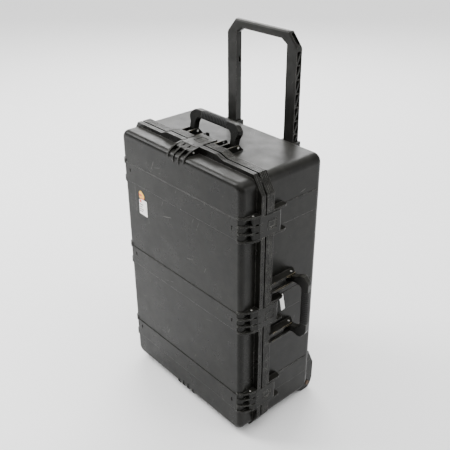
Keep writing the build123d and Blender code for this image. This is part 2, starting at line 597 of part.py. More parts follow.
# ---------------------------------------------------------------- trolley handle
STILE_IN = STILE_OUT - STILE_W
with BuildPart() as trolley_frame:
    bar_bottom = TROLLEY_TOP - TROLLEY_BAR
    half = [
        (STILE_OUT, TROLLEY_FOOT),
        (STILE_OUT, TROLLEY_TOP - CORNER_Z),
        (STILE_OUT - CORNER_X, TROLLEY_TOP),
    ]
    inner = [
        (STILE_IN, TROLLEY_FOOT),
        (STILE_IN, bar_bottom - INNER_CORNER_Z),
        (STILE_IN - INNER_CORNER_X, bar_bottom),
    ]
    left = [(-x, z) for x, z in half]
    outline = half + left[::-1] + [(-x, z) for x, z in inner] + inner[::-1]
    back = Plane(origin=(0, STILE_Y, 0), x_dir=(1, 0, 0), z_dir=(0, -1, 0))
    slab(back, outline, -STILE_D, 0)
    grasped = trolley_frame.edges().filter_by(lambda e: e.center().Z > bar_bottom - 20)
    fillet(grasped.filter_by(lambda e: abs(e.tangent_at(0.5).Y) < 0.1), 6)
    # the outer side of each stile is an open truss, and the inner side has a hole for the detent
    near, far = STILE_Y + TRUSS_WEB, STILE_Y + STILE_D - TRUSS_WEB
    count = int((TROLLEY_TOP - CORNER_Z - 2 - TROLLEY_FOOT - 6) // TRUSS_PITCH)
    for side in (-1, 1):
        start, end = sorted((side * (STILE_OUT - 9), side * (STILE_OUT + 1)))
        for i in range(count):
            low = TROLLEY_FOOT + 6 + i * TRUSS_PITCH
            high = low + TRUSS_PITCH - TRUSS_WEB
            under = [(near + 2, low), (far, low), (far, high - 5)]
            over = [(near, low + 5), (far - 2, high), (near, high)]
            slab(Plane.YZ, under, start, end, mode=Mode.SUBTRACT)
            slab(Plane.YZ, over, start, end, mode=Mode.SUBTRACT)
        start, end = sorted((side * (STILE_IN - 1), side * (STILE_IN + 8)))
        detent = [(near + 6, DETENT_Z), (far, DETENT_Z), (far, DETENT_Z + 17), (near + 6, DETENT_Z + 17)]
        slab(Plane.YZ, detent, start, end, mode=Mode.SUBTRACT)
        # an oval hollow in the chamfered corner
        corner = Plane(
            origin=(
                side * (STILE_OUT - CORNER_X / 2),
                STILE_Y + STILE_D / 2,
                TROLLEY_TOP - CORNER_Z / 2,
            ),
            x_dir=(0, 1, 0),
            z_dir=(side * CORNER_Z, 0, CORNER_X),
        )
        with BuildSketch(corner.offset(-9)) as oval:
            SlotOverall(34, 13, rotation=90)
        extrude(oval.sketch, amount=12, mode=Mode.SUBTRACT)
        # a peg under each stile takes its glide
        box_between(
            (side * STILE_MID - 12, STILE_Y + 5, TROLLEY_FOOT - 14),
            (side * STILE_MID + 12, STILE_Y + STILE_D - 5, TROLLEY_FOOT),
        )
save(trolley_frame, "trolley_frame")

with BuildPart() as trolley_glides:
    for side in (-1, 1):
        middle = side * STILE_MID
        box_between(
            (middle - STILE_W / 2 - 0.2, STILE_Y - 0.2, TROLLEY_FOOT - 20),
            (middle + STILE_W / 2 + 0.2, STILE_Y + STILE_D + 0.2, TROLLEY_FOOT),
        )
        box_between(
            (middle - 12, STILE_Y + 5, TROLLEY_FOOT - 14),
            (middle + 12, STILE_Y + STILE_D - 5, TROLLEY_FOOT),
            mode=Mode.SUBTRACT,
        )
save(trolley_glides, "trolley_glides")

for side, name in ((-1, "left"), (1, "right")):
    middle = side * STILE_MID
    half = STILE_W / 2 + GUIDE_GAP
    with BuildPart() as trolley_guide:
        box_between(
            (middle - half - GUIDE_WALL, BASE_BACK, GUIDE_BOTTOM),
            (middle + half + GUIDE_WALL, STILE_Y + STILE_D + GUIDE_GAP + GUIDE_WALL, GUIDE_TOP),
        )
        fillet(trolley_guide.faces().sort_by(Axis.Y)[-1].edges().filter_by(Axis.Z), 5)
        # a thicker collar round the mouth
        box_between(
            (middle - half - GUIDE_WALL - 3, BASE_BACK, GUIDE_TOP - 22),
            (middle + half + GUIDE_WALL + 3, STILE_Y + STILE_D + GUIDE_GAP + GUIDE_WALL + 0.5, GUIDE_TOP),
        )
        box_between(
            (middle - half, STILE_Y - GUIDE_GAP, GUIDE_BOTTOM + 4),
            (middle + half, STILE_Y + STILE_D + GUIDE_GAP, GUIDE_TOP + 1),
            mode=Mode.SUBTRACT,
        )
        for z in GUIDE_SCREW_Z:
            hole = Plane(origin=(middle, BASE_BACK - 1, z), x_dir=(1, 0, 0), z_dir=(0, 1, 0))
            rod(hole, 0, 0, 2.1, 0, 8, mode=Mode.SUBTRACT)
    save(trolley_guide, f"trolley_guide_{name}")

with BuildPart() as guide_screws:
    for side in (-1, 1):
        for z in GUIDE_SCREW_Z:
            head = Plane(
                origin=(side * STILE_MID, BASE_BACK - WALL, z),
                x_dir=(1, 0, 0),
                z_dir=(0, 1, 0),
            )
            rod(head, 0, 0, 4, -2.4, 0)
            rod(head, 0, 0, 2, 0, WALL + 6)
save(guide_screws, "guide_screws")

# ---------------------------------------------------------------- wheels
for side, name in ((-1, "left"), (1, "right")):
    axle = Plane(origin=(0, AXLE_Y, AXLE_Z), x_dir=(0, side, 0), z_dir=(side, 0, 0))
    with BuildPart() as wheel_housing:
        start, end = sorted((side * HOUSING_IN, side * HOUSING_OUT))
        with BuildSketch(Plane.YZ.offset(start)) as cheek:
            with BuildLine():
                front = Polyline(
                    (228, 2),
                    (200, 2),
                    (POCKET_FRONT + 1, 17),
                    (POCKET_FRONT + 1, 19),
                    (BASE_BACK + 0.2, POCKET_TOP - 1.5),
                    (BASE_BACK + 0.2, 143),
                    (222, 143),
                    (BACK_LIMIT - 1, 92),
                    (BACK_LIMIT - 1, 40),
                )
                TangentArc(front @ 1, front @ 0, tangent=(0, -1))
            make_face()
        extrude(cheek.sketch, amount=end - start)
        hollow = [
            (BASE_BACK - 9, 64),
            (BASE_BACK - 9, 60),
            (BASE_BACK + 4, 62),
            (BACK_LIMIT - 5, 66),
            (BACK_LIMIT - 5, 90),
            (219, 136),
            (BASE_BACK - 5, 136),
        ]
        start, end = sorted((side * (HOUSING_IN + 13), side * (HOUSING_OUT - 18)))
        slab(Plane.YZ, hollow, start, end, mode=Mode.SUBTRACT)
        # wheel well, axle holes, and a pocket for the nut in the inner cheek
        start, end = WHEEL_X - WHEEL_HALF - 3, WHEEL_X + WHEEL_HALF + 3
        rod(axle, 0, 0, WHEEL_R + 3.5, start, end, mode=Mode.SUBTRACT)
        rod(axle, 0, 0, AXLE_R + 0.1, HOUSING_IN - 1, HOUSING_OUT + 1, mode=Mode.SUBTRACT)
        with BuildSketch(axle.offset(HOUSING_IN - 1)) as pocket:
            RegularPolygon(7.3, 6, major_radius=False)
        extrude(pocket.sketch, amount=7, mode=Mode.SUBTRACT)
        for x, z in HOUSING_SCREWS:
            hole = Plane(origin=(side * x, BASE_BACK - 1, z), x_dir=(1, 0, 0), z_dir=(0, 1, 0))
            rod(hole, 0, 0, 2.1, 0, 13, mode=Mode.SUBTRACT)
    save(wheel_housing, f"wheel_housing_{name}")

    with BuildPart() as wheel_tyre:
        rod(axle, 0, 0, WHEEL_R, WHEEL_X - WHEEL_HALF, WHEEL_X + WHEEL_HALF)
        fillet(wheel_tyre.edges().filter_by(GeomType.CIRCLE), 4)
        rod(axle, 0, 0, HUB_R + 0.02, WHEEL_X - 20, WHEEL_X + 20, mode=Mode.SUBTRACT)
    save(wheel_tyre, f"wheel_tyre_{name}")

    with BuildPart() as wheel_hub:
        rod(axle, 0, 0, HUB_R, WHEEL_X - WHEEL_HALF + 1, WHEEL_X + WHEEL_HALF - 1)
        for start, end in ((-WHEEL_HALF, -5), (5, WHEEL_HALF)):
            with BuildSketch(axle.offset(WHEEL_X + start)) as dish:
                Circle(HUB_R - 3)
                Circle(8, mode=Mode.SUBTRACT)
            extrude(dish.sketch, amount=end - start, mode=Mode.SUBTRACT)
        for start in (-WHEEL_HALF, WHEEL_HALF - 1):
            rod(axle, 0, 0, 8, WHEEL_X + start, WHEEL_X + start + 1)
        rod(axle, 0, 0, HUB_BORE_R, WHEEL_X - 20, WHEEL_X + 20, mode=Mode.SUBTRACT)
    save(wheel_hub, f"wheel_hub_{name}")

with BuildPart() as axle_bolts:
    for side in (-1, 1):
        axle = Plane(origin=(0, AXLE_Y, AXLE_Z), x_dir=(0, side, 0), z_dir=(side, 0, 0))
        rod(axle, 0, 0, AXLE_R, HOUSING_IN + 0.5, HOUSING_OUT)
        with BuildSketch(axle.offset(HOUSING_OUT)) as head:
            RegularPolygon(6.5, 6, major_radius=False)
        extrude(head.sketch, amount=4)
save(axle_bolts, "axle_bolts")

with BuildPart() as axle_nuts:
    for side in (-1, 1):
        axle = Plane(origin=(0, AXLE_Y, AXLE_Z), x_dir=(0, side, 0), z_dir=(side, 0, 0))
        with BuildSketch(axle.offset(HOUSING_IN + 0.6)) as flats:
            RegularPolygon(6.5, 6, major_radius=False)
            Circle(AXLE_R + 0.05, mode=Mode.SUBTRACT)
        extrude(flats.sketch, amount=5)
save(axle_nuts, "axle_nuts")

with BuildPart() as axle_washers:
    for side in (-1, 1):
        axle = Plane(origin=(0, AXLE_Y, AXLE_Z), x_dir=(0, side, 0), z_dir=(side, 0, 0))
        for start in (WHEEL_X - WHEEL_HALF - 2.8, WHEEL_X + WHEEL_HALF + 0.4):
            with BuildSketch(axle.offset(start)) as washer:
                Circle(8)
                Circle(AXLE_R + 0.1, mode=Mode.SUBTRACT)
            extrude(washer.sketch, amount=2.4)
save(axle_washers, "axle_washers")

with BuildPart() as housing_screws:
    for side in (-1, 1):
        for x, z in HOUSING_SCREWS:
            head = Plane(origin=(side * x, BASE_BACK - WALL, z), x_dir=(1, 0, 0), z_dir=(0, 1, 0))
            rod(head, 0, 0, 4, -2.4, 0)
            rod(head, 0, 0, 2, 0, WALL + 11)
save(housing_screws, "housing_screws")

# ---------------------------------------------------------------- valve and labels
with BuildPart() as pressure_valve:
    seat = Plane(origin=(-BASE_HALF_W, VALVE_Y, VALVE_Z), x_dir=(0, 1, 0), z_dir=(-1, 0, 0))
    rod(seat, 0, 0, VALVE_R, 0, 3)
    rod(seat, 0, 0, 6, -WALL - 1, 0)
    rod(seat, 0, 0, 9, -WALL - 4, -WALL)
    for i in range(6):
        turn = radians(60 * i)
        slot = Plane(origin=seat.origin, x_dir=(0, cos(turn), sin(turn)), z_dir=seat.z_dir)
        slab(slot, [(4, -1), (9, -1), (9, 1), (4, 1)], 1.5, 4, mode=Mode.SUBTRACT)
save(pressure_valve, "pressure_valve")

with BuildPart() as lid_label:
    box_between((-178, LID_FACE + BAND_RAISE - LABEL_T, 543), (-140, LID_FACE + BAND_RAISE, 618))
save(lid_label, "lid_label")

with BuildPart() as side_label:
    tilt = radians(11)
    band_side = Plane(
        origin=(BASE_HALF_W + 1.2, 84.5, STATIONS[1]),
        x_dir=(0, cos(tilt), sin(tilt)),
        z_dir=(1, 0, 0),
    )
    with BuildSketch(band_side) as strip:
        RectangleRounded(13.5, 52, 1)
    extrude(strip.sketch, amount=LABEL_T)
save(side_label, "side_label")
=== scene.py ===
import math

import bmesh
import bpy
from mathutils import Euler, Matrix, Vector, noise


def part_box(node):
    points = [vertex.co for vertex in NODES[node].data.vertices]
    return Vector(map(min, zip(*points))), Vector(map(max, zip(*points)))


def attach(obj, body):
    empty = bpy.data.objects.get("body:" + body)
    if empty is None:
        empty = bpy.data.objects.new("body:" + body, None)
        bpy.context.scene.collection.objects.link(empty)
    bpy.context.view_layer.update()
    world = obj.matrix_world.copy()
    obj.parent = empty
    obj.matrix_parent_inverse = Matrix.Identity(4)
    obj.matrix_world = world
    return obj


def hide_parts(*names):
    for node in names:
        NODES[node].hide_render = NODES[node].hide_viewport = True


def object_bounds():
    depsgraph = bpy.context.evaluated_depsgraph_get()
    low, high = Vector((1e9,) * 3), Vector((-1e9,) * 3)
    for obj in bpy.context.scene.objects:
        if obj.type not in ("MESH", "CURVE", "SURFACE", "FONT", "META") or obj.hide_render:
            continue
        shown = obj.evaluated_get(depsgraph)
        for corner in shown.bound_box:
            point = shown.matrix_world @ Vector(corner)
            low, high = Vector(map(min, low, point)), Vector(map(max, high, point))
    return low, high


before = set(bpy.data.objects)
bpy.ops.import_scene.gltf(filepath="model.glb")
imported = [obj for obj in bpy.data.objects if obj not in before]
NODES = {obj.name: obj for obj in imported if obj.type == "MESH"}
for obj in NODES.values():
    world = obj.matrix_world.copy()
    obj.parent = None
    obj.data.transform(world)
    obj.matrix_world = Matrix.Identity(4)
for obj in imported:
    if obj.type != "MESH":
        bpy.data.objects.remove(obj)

CAD_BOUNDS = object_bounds()

SHEEN = 0.15  # specular level of the moulded plastic
RUBBER_SHEEN = 0.2
FILM_SHEEN = 0.5
DUST = (0.09, 0.088, 0.078, 1)
SCRATCH = (0.12, 0.118, 0.108, 1)
# the pale colour along plastic edges: partly rubbed wear, partly a painted highlight standing in for
# the glint on the edges
RUBBED_AND_HIGHLIT_EDGE = (0.30, 0.295, 0.27, 1)
WORN_THROUGH = (0.42, 0.34, 0.2, 1)
RUBBED_RUBBER = (0.11, 0.11, 0.105, 1)
DARK_RUST, PALE_RUST = (0.045, 0.024, 0.014, 1), (0.10, 0.06, 0.036, 1)
SOIL = (0.2, 0.19, 0.17, 1)
SCRATCH_SQUEEZE = (1 / 330, 1 / 4, 1 / 330)  # noise drawn out into lines
MARK_FADE = 0.0006  # metres over which a placed scratch fades in at its sides
WORN_FADE = 0.002  # metres over which the worn-through part fades in
BAND_PITCH = 0.036  # metres from one gloss band to the next
FINE_GRAIN = 0.00005  # depth of the moulded texture, in metres
SLOW_WAVE = 0.0006  # depth of the waviness in the walls, in metres
BEVEL_SAMPLES = 4
SCRATCH_STRENGTH, WORN_STRENGTH, RUB_STRENGTH = 0.5, 0.85, 0.5  # how far each colour covers
DUST_DULLING = 0.08  # roughness that full dust adds
BAND_GLOSS = 0.035  # roughness that a band adds or takes away


# ---------------------------------------------------------------- node helpers
def add(tree, kind, settings=None, **inputs):
    """A shader node; a value is set on its socket and a socket is linked to it."""
    node = tree.nodes.new(kind)
    for key, value in (settings or {}).items():
        setattr(node, key, value)
    for key, value in inputs.items():
        put(tree, node.inputs[key.replace("_", " ")], value)
    return node


def put(tree, socket, value):
    """Set a socket's value, or link another socket to it."""
    if isinstance(value, bpy.types.NodeSocket):
        tree.links.new(value, socket)
    else:
        socket.default_value = value


def calc(tree, operation, a, b=0.0):
    """One math node."""
    node = tree.nodes.new("ShaderNodeMath")
    node.operation = operation
    put(tree, node.inputs[0], a)
    put(tree, node.inputs[1], b)
    return node.outputs[0]


def product(tree, *factors):
    """Multiply sockets or numbers together, from the left."""
    total = factors[0]
    for factor in factors[1:]:
        total = calc(tree, "MULTIPLY", total, factor)
    return total


def rise(tree, value, low, high, to_low=0.0, to_high=1.0):
    """Map a value from one range to another, and hold it at the ends."""
    node = add(tree, "ShaderNodeMapRange", Value=value)
    limits = {"From Min": low, "From Max": high, "To Min": to_low, "To Max": to_high}
    for name, number in limits.items():
        node.inputs[name].default_value = number
    return node.outputs[0]


def blend_colour(tree, factor, a, b):
    """Mix two colours."""
    node = add(tree, "ShaderNodeMix", {"data_type": "RGBA"})
    put(tree, node.inputs[0], factor)
    put(tree, node.inputs[6], a)
    put(tree, node.inputs[7], b)
    return node.outputs[2]


def cloud(tree, where, scale, detail=4.0, rough=0.6):
    """A noise texture's value."""
    node = add(
        tree, "ShaderNodeTexNoise", Vector=where, Scale=scale, Detail=detail, Roughness=rough
    )
    return node.outputs[0]


def new_material(name, **sockets):
    """A material, its tree, its shader and the object coordinates that its textures use."""
    made = bpy.data.materials.new(name)
    made.use_nodes = True
    tree = made.node_tree
    shader = tree.nodes["Principled BSDF"]
    for key, value in sockets.items():
        shader.inputs[key.replace("_", " ")].default_value = value
    where = add(tree, "ShaderNodeTexCoord").outputs["Object"]
    return made, tree, shader, where


def scratches(tree, where, turn, keep=0.6):
    """Thin, broken, straight lines that run one way: 1 on a line, 0 off it."""
    turned = add(tree, "ShaderNodeMapping", {"vector_type": "TEXTURE"}, Vector=where)
    turned.inputs["Rotation"].default_value = turn
    turned.inputs["Scale"].default_value = SCRATCH_SQUEEZE
    line = rise(tree, cloud(tree, turned.outputs[0], 1.0, detail=1.0, rough=0.4), 0.70, 0.74)
    # patches in which lines show; they are finer where the direction is turned about y
    patch = rise(tree, cloud(tree, where, 17.0 + 5 * turn[1], detail=3.0), keep, keep + 0.05)
    # a line shows only on the faces that it runs along: where it meets one end-on it is a dot
    along = Euler(turn).to_matrix() @ Vector((0, 1, 0))
    tilt = add(tree, "ShaderNodeVectorMath", {"operation": "DOT_PRODUCT"})
    put(tree, tilt.inputs[0], add(tree, "ShaderNodeTexCoord").outputs["Normal"])
    put(tree, tilt.inputs[1], along)
    flat = rise(tree, calc(tree, "ABSOLUTE", tilt.outputs["Value"]), 0.15, 0.35, 1.0, 0.0)
    return product(tree, line, patch, flat)


def edge_mask(tree, radius, low, high):
    """The rounded normal, and a mask that is 1 where it turns from the face's own.

    The bevel node rounds inner edges as well as outer ones, so both are marked.
    """
    rounded = add(tree, "ShaderNodeBevel", {"samples": BEVEL_SAMPLES}, Radius=radius).outputs[0]
    flat = add(tree, "ShaderNodeNewGeometry").outputs["Normal"]
    dot = add(tree, "ShaderNodeVectorMath", {"operation": "DOT_PRODUCT"})
    put(tree, dot.inputs[0], rounded)
    put(tree, dot.inputs[1], flat)
    return rounded, rise(tree, dot.outputs["Value"], high, low)


def bump(tree, height, depth):
    """A bump node of a depth in metres."""
    return add(tree, "ShaderNodeBump", Height=height, Distance=depth, Strength=1.0)


def grain(tree, where, normal, scale, depth, wave=0.0):
    """A fine moulded texture, and if asked a slow waviness under it."""
    fine = bump(tree, cloud(tree, where, scale, detail=3.0), depth)
    if wave:
        slow = bump(tree, cloud(tree, where, 7.0, detail=1.0), wave)
        put(tree, slow.inputs["Normal"], normal)
        normal = slow.outputs[0]
    put(tree, fine.inputs["Normal"], normal)
    return fine.outputs[0]


# ---------------------------------------------------------------- materials
def dust_mask(tree, where):
    """How dusty a face is: most on faces that look up, and patchy."""
    normal = add(tree, "ShaderNodeTexCoord").outputs["Normal"]
    up = add(tree, "ShaderNodeSeparateXYZ", Vector=normal).outputs[2]
    facing_up = rise(tree, up, 0.3, 0.95)
    patches = rise(tree, cloud(tree, where, 14.0, detail=6.0), 0.35, 0.7, 0.35, 1.0)
    return product(tree, facing_up, patches)


def placed_scratch(tree, where, axes, low, high, strength):
    """One scratch at a known place: broken lines inside a box."""
    inside = strength
    for i in range(3):
        inside = product(tree, inside, rise(tree, axes.outputs[i], low[i] - MARK_FADE, low[i]))
        inside = product(tree, inside, rise(tree, axes.outputs[i], high[i] + MARK_FADE, high[i]))
    broken = rise(tree, cloud(tree, where, 160.0, detail=3.0), 0.38, 0.6)
    return product(tree, inside, broken)


def worn_through(tree, where, axes, edges, start):
    """Patches of edge past a start in x or in z, and also past one in y."""
    past = [rise(tree, axes.outputs[i], start[i], start[i] + WORN_FADE) for i in range(3)]
    out = product(tree, calc(tree, "MAXIMUM", past[0], past[2]), past[1])
    patches = rise(tree, cloud(tree, where, 24.0, detail=5.0), 0.45, 0.52)
    return product(tree, edges, out, patches)


def moulded(name, dark, light, rough, dust, wear_and_highlight, turns, worn_from=None, marks=(), bands=False):
    """Black moulded plastic: mottled, textured, dusty on top, scratched, and lightened along its edges,
    partly as rubbed wear and partly as a painted highlight.
    """
    made, tree, shader, where = new_material(name, Specular_IOR_Level=SHEEN)
    axes = add(tree, "ShaderNodeSeparateXYZ", Vector=where)
    mottle = product(
        tree, cloud(tree, where, 5.0, detail=5.0), cloud(tree, where, 38.0, detail=4.0)
    )
    colour = blend_colour(tree, rise(tree, mottle, 0.15, 0.36), dark, light)
    dusty = dust_mask(tree, where)
    colour = blend_colour(tree, product(tree, dusty, dust), colour, DUST)
    lines = 0.0
    for turn in turns:
        lines = calc(tree, "MAXIMUM", lines, scratches(tree, where, turn))
    for low, high, strength in marks:
        mark = placed_scratch(tree, where, axes, low, high, strength)
        lines = calc(tree, "MAXIMUM", lines, mark)
    colour = blend_colour(tree, product(tree, lines, SCRATCH_STRENGTH), colour, SCRATCH)
    rounded, edges = edge_mask(tree, radius=0.0013, low=0.80, high=0.985)
    # edges, inner ones too, are lightened in patches: partly rubbed wear, partly a painted highlight
    # standing in for the glint on rounded edges
    patches = rise(tree, cloud(tree, where, 60.0, detail=4.0), 0.42, 0.62, 0.15, 1.0)
    colour = blend_colour(tree, product(tree, edges, patches, wear_and_highlight), colour, RUBBED_AND_HIGHLIT_EDGE)
    if worn_from is not None:
        buff = worn_through(tree, where, axes, edges, worn_from)
        colour = blend_colour(tree, product(tree, buff, WORN_STRENGTH), colour, WORN_THROUGH)
    put(tree, shader.inputs["Base Color"], colour)
    gloss = rise(
        tree, cloud(tree, where, 26.0, detail=5.0), 0.3, 0.7, rough - 0.05, rough + 0.09
    )
    gloss = calc(tree, "ADD", gloss, product(tree, dusty, DUST_DULLING))
    if bands:
        # slow bands up the part, where the truss behind has drawn the surface in
        phase = product(tree, axes.outputs[2], 2 * math.pi / BAND_PITCH)
        wave = product(tree, calc(tree, "SINE", phase), BAND_GLOSS)
        gloss = calc(tree, "ADD", gloss, wave)
    put(tree, shader.inputs["Roughness"], gloss)
    normal = grain(tree, where, rounded, scale=1500.0, depth=FINE_GRAIN, wave=SLOW_WAVE)
    put(tree, shader.inputs["Normal"], normal)
    return made


def rubber(name, tone, rough, scale=2200.0):
    """Dull black rubber with a fine grain and grey rub marks."""
    made, tree, shader, where = new_material(name, Specular_IOR_Level=RUBBER_SHEEN)
    patches = rise(tree, cloud(tree, where, 45.0, detail=5.0), 0.35, 0.7)
    dark, light = (tone, tone, tone, 1), (tone * 2.1, tone * 2.1, tone * 2.0, 1)
    colour = blend_colour(tree, patches, dark, light)
    rounded, edges = edge_mask(tree, radius=0.0008, low=0.85, high=0.99)
    rubbed = product(tree, edges, rise(tree, cloud(tree, where, 90.0, detail=3.0), 0.4, 0.65))
    colour = blend_colour(tree, product(tree, rubbed, RUB_STRENGTH), colour, RUBBED_RUBBER)
    put(tree, shader.inputs["Base Color"], colour)
    gloss = rise(tree, patches, 0.0, 1.0, rough - 0.06, rough + 0.08)
    put(tree, shader.inputs["Roughness"], gloss)
    put(tree, shader.inputs["Normal"], grain(tree, where, rounded, scale, FINE_GRAIN))
    return made


def metal(name, tone, rough, rust=0.0):
    """Worn steel, finely mottled. Even with rust at 0 a few spots show; more show as it goes up."""
    made, tree, shader, where = new_material(name)
    darker = tuple(c * 0.8 for c in tone[:3]) + (1,)
    clean = blend_colour(tree, cloud(tree, where, 700.0, detail=2.0), tone, darker)
    spots = rise(
        tree, cloud(tree, where, 420.0, detail=6.0), 0.62 - 0.35 * rust, 0.7 - 0.3 * rust
    )
    brown = blend_colour(tree, cloud(tree, where, 900.0, detail=4.0), DARK_RUST, PALE_RUST)
    put(tree, shader.inputs["Base Color"], blend_colour(tree, spots, clean, brown))
    put(tree, shader.inputs["Metallic"], rise(tree, spots, 0.0, 1.0, 0.55, 0.1))
    put(tree, shader.inputs["Roughness"], rise(tree, spots, 0.0, 1.0, rough, 0.85))
    rounded = add(tree, "ShaderNodeBevel", {"samples": BEVEL_SAMPLES}, Radius=0.0006).outputs[0]
    put(tree, shader.inputs["Normal"], grain(tree, where, rounded, scale=900.0, depth=0.00004))
    return made


def rectangle(tree, axes, x0, x1, z0, z1):
    """1 inside a rectangle of the label, seen from the front."""
    inside = 1.0
    for axis, low, high in ((0, x0, x1), (2, z0, z1)):
        inside = product(tree, inside, calc(tree, "GREATER_THAN", axes.outputs[axis], low))
        inside = product(tree, inside, calc(tree, "LESS_THAN", axes.outputs[axis], high))
    return inside


def printed(name, paper, blocks, low, high):
    """A printed film: flat blocks of colour at fractions of its width and height, rubbed and soiled."""
    made, tree, shader, where = new_material(name, Roughness=0.38, Specular_IOR_Level=FILM_SHEEN)
    axes = add(tree, "ShaderNodeSeparateXYZ", Vector=where)
    colour = paper
    for x0, x1, z0, z1, ink in blocks:
        across = [low[0] + f * (high[0] - low[0]) for f in (x0, x1)]
        upward = [low[2] + f * (high[2] - low[2]) for f in (z0, z1)]
        colour = blend_colour(tree, rectangle(tree, axes, *across, *upward), colour, ink)
    soil = rise(tree, cloud(tree, where, 120.0, detail=6.0), 0.55, 0.8, 0.0, 0.4)
    colour = blend_colour(tree, soil, colour, SOIL)
    put(tree, shader.inputs["Base Color"], colour)
    put(tree, shader.inputs["Roughness"], rise(tree, soil, 0.0, 0.4, 0.33, 0.6))
    crease = bump(tree, cloud(tree, where, 60.0, detail=2.0), depth=0.0004)
    put(tree, shader.inputs["Normal"], crease.outputs[0])
    return made


label_low, label_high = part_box("lid_label")
lid_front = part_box("lid_shell")[0][1]
# two scratches beside the lid's label, as boxes that reach from before the lid into its face
BEFORE, INTO = lid_front - 1, lid_front + 0.004
long_x, short_x = label_low[0] - 0.016, label_high[0] + 0.0035
LID_MARKS = [
    ((long_x, BEFORE, 0.545), (long_x + 0.0016, INTO, 0.626), 1.0),
    ((short_x, BEFORE, 0.527), (label_high[0] + 0.0048, INTO, 0.544), 1.0),
]
# the ways that scratches run, as rotations about x, y and z
IN_LID = [(math.pi / 2, 0.4, 0), (math.pi / 2, 1.3, 0)]
IN_SIDES = [(0.95, 0, 0), (0.3, 0, 0), (0, 0, 0.7), (math.pi / 2, 0.5, 0)]
# edges are worn through past this x or this z, and only past this y, in metres
WORN_FROM = (0.2585, 0.0305, 0.7905)
BLACK, WORN_BLACK = (0.0020, 0.0020, 0.0015, 1), (0.0068, 0.0067, 0.0054, 1)
GREY_BLACK = (0.018, 0.0178, 0.0165, 1)
HUB_DARK, HUB_LIGHT = (0.012, 0.012, 0.012, 1), (0.026, 0.026, 0.025, 1)
BRIGHT_STEEL, DULL_STEEL = (0.88, 0.87, 0.83, 1), (0.14, 0.12, 0.10, 1)
PAPER, STRIP = (0.93, 0.92, 0.90, 1), (0.90, 0.90, 0.88, 1)
YELLOW, ORANGE = (0.98, 0.50, 0.0, 1), (0.85, 0.14, 0.0, 1)
RED, DEEP_RED, INK = (0.75, 0.02, 0.01, 1), (0.70, 0.03, 0.01, 1), (0.05, 0.05, 0.05, 1)

# the edge amount in each call sets how much pale edge colour shows: rubbed wear and a painted highlight
resin_lid = moulded(
    "resin_lid", BLACK, WORN_BLACK, rough=0.29, dust=0.2, wear_and_highlight=0.6, turns=IN_LID, marks=LID_MARKS
)
resin_base = moulded(
    "resin_base", BLACK, WORN_BLACK, rough=0.31, dust=0.22, wear_and_highlight=0.6, turns=IN_SIDES,
    worn_from=WORN_FROM,
)
nylon = moulded("nylon", BLACK, WORN_BLACK, rough=0.29, dust=0.4, wear_and_highlight=0.75, turns=IN_SIDES)
trolley_nylon = moulded(
    "trolley_nylon", WORN_BLACK, GREY_BLACK, rough=0.36, dust=0.3, wear_and_highlight=0.6, turns=IN_SIDES,
    bands=True,
)
grip_rubber = rubber("grip_rubber", tone=0.0055, rough=0.5)
gasket_rubber = rubber("gasket_rubber", tone=0.004, rough=0.8)
tyre_rubber = rubber("tyre_rubber", tone=0.008, rough=0.68, scale=1500.0)
hub_plastic = moulded(
    "hub_plastic", HUB_DARK, HUB_LIGHT, rough=0.48, dust=0.3, wear_and_highlight=0.4, turns=IN_SIDES
)
steel = metal("steel", BRIGHT_STEEL, rough=0.34)
axle_steel = metal("axle_steel", DULL_STEEL, rough=0.6, rust=0.8)
white_film = printed("white_film", STRIP, [], label_low, label_high)
# blocks of ink: left, right, bottom and top as fractions of the label, then the colour
PANEL_INK = [
    (0.10, 0.34, 0.50, 0.60, RED),
    (0.06, 0.50, 0.40, 0.44, INK),
    (0.06, 0.40, 0.30, 0.335, INK),
    (0.06, 0.56, 0.21, 0.24, INK),
    (0.06, 0.46, 0.12, 0.15, INK),
]
PATCH_INK = [
    (0.0, 0.42, 0.76, 0.84, DEEP_RED),
    (0.30, 1.0, 0.62, 0.72, ORANGE),
]
panel_film = printed("panel_film", PAPER, PANEL_INK, label_low, label_high)
patch_film = printed("patch_film", YELLOW, PATCH_INK, label_low, label_high)
LOOKS = {
    "lid_shell": resin_lid,
    "base_shell": resin_base,
    "lid_gasket": gasket_rubber,
    "trolley_frame": trolley_nylon,
    "side_label": white_film,
    "axle_bolts": axle_steel,
    "axle_nuts": axle_steel,
    "axle_washers": axle_steel,
}


def look_of(node):
    """The material of a CAD node."""
    if node in LOOKS:
        return LOOKS[node]
    if "spring" in node or "pins" in node or "screws" in node:
        return steel
    if "tyre" in node:
        return tyre_rubber
    if "hub" in node:
        return hub_plastic
    if node.endswith("_grip"):
        return grip_rubber
    return nylon


for node, obj in NODES.items():
    if not obj.material_slots:
        obj.data.materials.append(None)
    for holder in obj.material_slots:
        holder.material = look_of(node)


# ---------------------------------------------------------------- rubber grips
RINGS, SIDES = 300, 48  # steps along a grip and round it
RIB_PITCH = 0.0058  # metres from one rib to the next
PLAIN_END = 0.007  # metres at each end that carry no ribs
ROUNDED_END = 0.0015  # metres at each end that are rounded over
RIB_DEPTH, END_DEPTH = 0.10, 0.09  # fractions of the section taken off
SQUARENESS = 0.62  # 1 is an ellipse, less is squarer
TRIES = 180  # directions tried when looking for the deeper side


def span(points, direction):
    """How far points reach back and forward along a direction."""
    reach = [point.dot(direction) for point in points]
    return min(reach), max(reach)


def deeper_side(spread, along):
    """The direction across a grip in which its depth most exceeds its width."""
    side = Vector((0, 1, 0))
    other = along.cross(side)
    best, deep = 0.0, None
    for i in range(TRIES):
        angle = math.pi * i / TRIES
        direction = side * math.cos(angle) + other * math.sin(angle)
        low, high = span(spread, direction)
        near, far = span(spread, direction.cross(along))
        excess = (high - low) - (far - near)
        if excess > best:
            best, deep = excess, direction
    return deep


